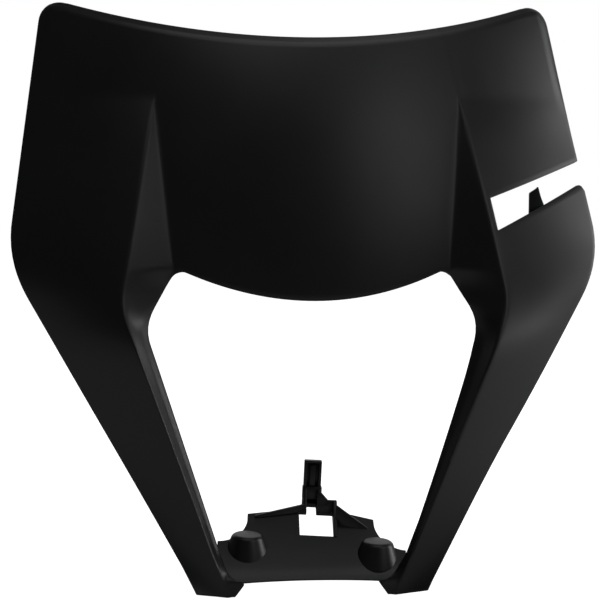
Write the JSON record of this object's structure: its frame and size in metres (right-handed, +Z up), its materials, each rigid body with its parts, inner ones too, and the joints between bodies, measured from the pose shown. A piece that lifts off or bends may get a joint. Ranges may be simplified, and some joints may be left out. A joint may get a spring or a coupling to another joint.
{
  "type": "headlight cowl",
  "caption": "One-piece moulded cowl that frames the headlight of an off-road motorbike, with a wide curved plate, two legs, a tray with a clip and a slot for a hose.",
  "frame": {"origin": "middle of the clip window, on the tray's upper surface", "axes": "+Z up with the cowl standing as on the motorbike, -Y the way its front faces, +X to the right of a viewer who looks at the front"},
  "size_m": [0.2898, 0.0988, 0.2879],
  "materials": {
    "black_plastic": "satin, fine grain"
  },
  "bodies": {
    "root": {"cowl": "black_plastic"}
  },
  "joints": []
}
